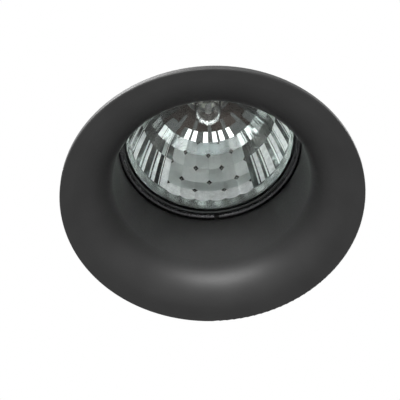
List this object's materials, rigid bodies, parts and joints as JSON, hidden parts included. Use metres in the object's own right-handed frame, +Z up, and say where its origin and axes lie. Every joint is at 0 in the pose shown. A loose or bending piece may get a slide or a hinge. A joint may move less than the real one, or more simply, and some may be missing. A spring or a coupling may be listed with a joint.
{
  "type": "soffit downlight",
  "caption": "Round recessed soffit downlight: flared matt black bezel, faceted reflector lamp, wire retaining ring, sprung ceiling clips, ceramic lampholder and terminal block.",
  "frame": {"origin": "centre of the rim's flat back, where it seats on the underside of the soffit", "axes": "+Z up into the soffit along the lamp's axis, +X towards one spring clip, +Y towards the supply side of the terminal block"},
  "size_m": [0.1252, 0.082, 0.1132],
  "materials": {
    "bezel_black": "die cast, with a matt black powder coat of fine texture",
    "ring_black": "black spring wire, slight sheen",
    "reflector_glass": "pressed glass with a metallised faceted inside",
    "clear_glass": "clear",
    "tungsten": "dull grey wire",
    "cement_grey": "rough, chalky",
    "lamp_ceramic": "unglazed ceramic",
    "pin_metal": "turned, nickel plated",
    "holder_ceramic": "unglazed steatite",
    "contact_brass": "plain",
    "zinc_steel": "bright zinc plate",
    "block_nylon": "satin moulded",
    "lead_brown": "soft satin insulation",
    "lead_blue": "soft satin insulation",
    "lead_green": "soft satin insulation, green with yellow stripes",
    "clip_steel": "bright zinc plate",
    "spring_steel": "drawn spring wire",
    "pad_rubber": "matt"
  },
  "bodies": {
    "housing": {"bezel": "bezel_black", "retaining_ring": "ring_black", "lampholder_body": "holder_ceramic", "lampholder_cover": "holder_ceramic", "lampholder_contacts": "contact_brass", "terminal_barrels": "contact_brass", "lampholder_screws": "zinc_steel", "lampholder_nuts": "zinc_steel", "lamp_bracket": "zinc_steel", "bracket_screws": "zinc_steel", "terminal_screws": "zinc_steel", "terminal_fixings": "zinc_steel", "earth_screw": "zinc_steel", "earth_nut": "zinc_steel", "earth_tag": "zinc_steel", "terminal_block": "block_nylon", "lead_live": "lead_brown", "lead_neutral": "lead_blue", "lead_earth": "lead_green", "clip_pin_right": "clip_steel", "clip_pin_left": "clip_steel", "clip_spring_right": "spring_steel", "clip_spring_left": "spring_steel"},
    "clip_right": {"clip_arm_right": "clip_steel", "clip_pad_right": "pad_rubber"},
    "clip_left": {"clip_arm_left": "clip_steel", "clip_pad_left": "pad_rubber"},
    "lamp": {"lamp_reflector": "reflector_glass", "lamp_cover_glass": "clear_glass", "lamp_capsule": "clear_glass", "lamp_filament": "tungsten", "filament_posts": "tungsten", "lamp_lead_wires": "tungsten", "lamp_cement": "cement_grey", "lamp_base": "lamp_ceramic", "lamp_pins": "pin_metal"}
  },
  "joints": [
    {"name": "clip_right_hinge", "type": "hinge", "parent": "housing", "child": "clip_right", "pos_m": [0.0325, 0, 0.015], "axis": [0, -1, 0], "range_deg": [0, 110], "stiffness_Nm_per_rad": 0.05, "springref_deg": -45.84, "deforming": ["clip_spring_right"]},
    {"name": "clip_left_hinge", "type": "hinge", "parent": "housing", "child": "clip_left", "pos_m": [-0.0325, 0, 0.015], "axis": [0, 1, 0], "range_deg": [0, 110], "stiffness_Nm_per_rad": 0.05, "springref_deg": -45.84, "deforming": ["clip_spring_left"]},
    {"name": "lamp_turn", "type": "hinge", "parent": "housing", "child": "lamp", "pos_m": [0, 0, 0.07915], "axis": [0, 0, 1], "range_deg": [-22, 0]}
  ]
}
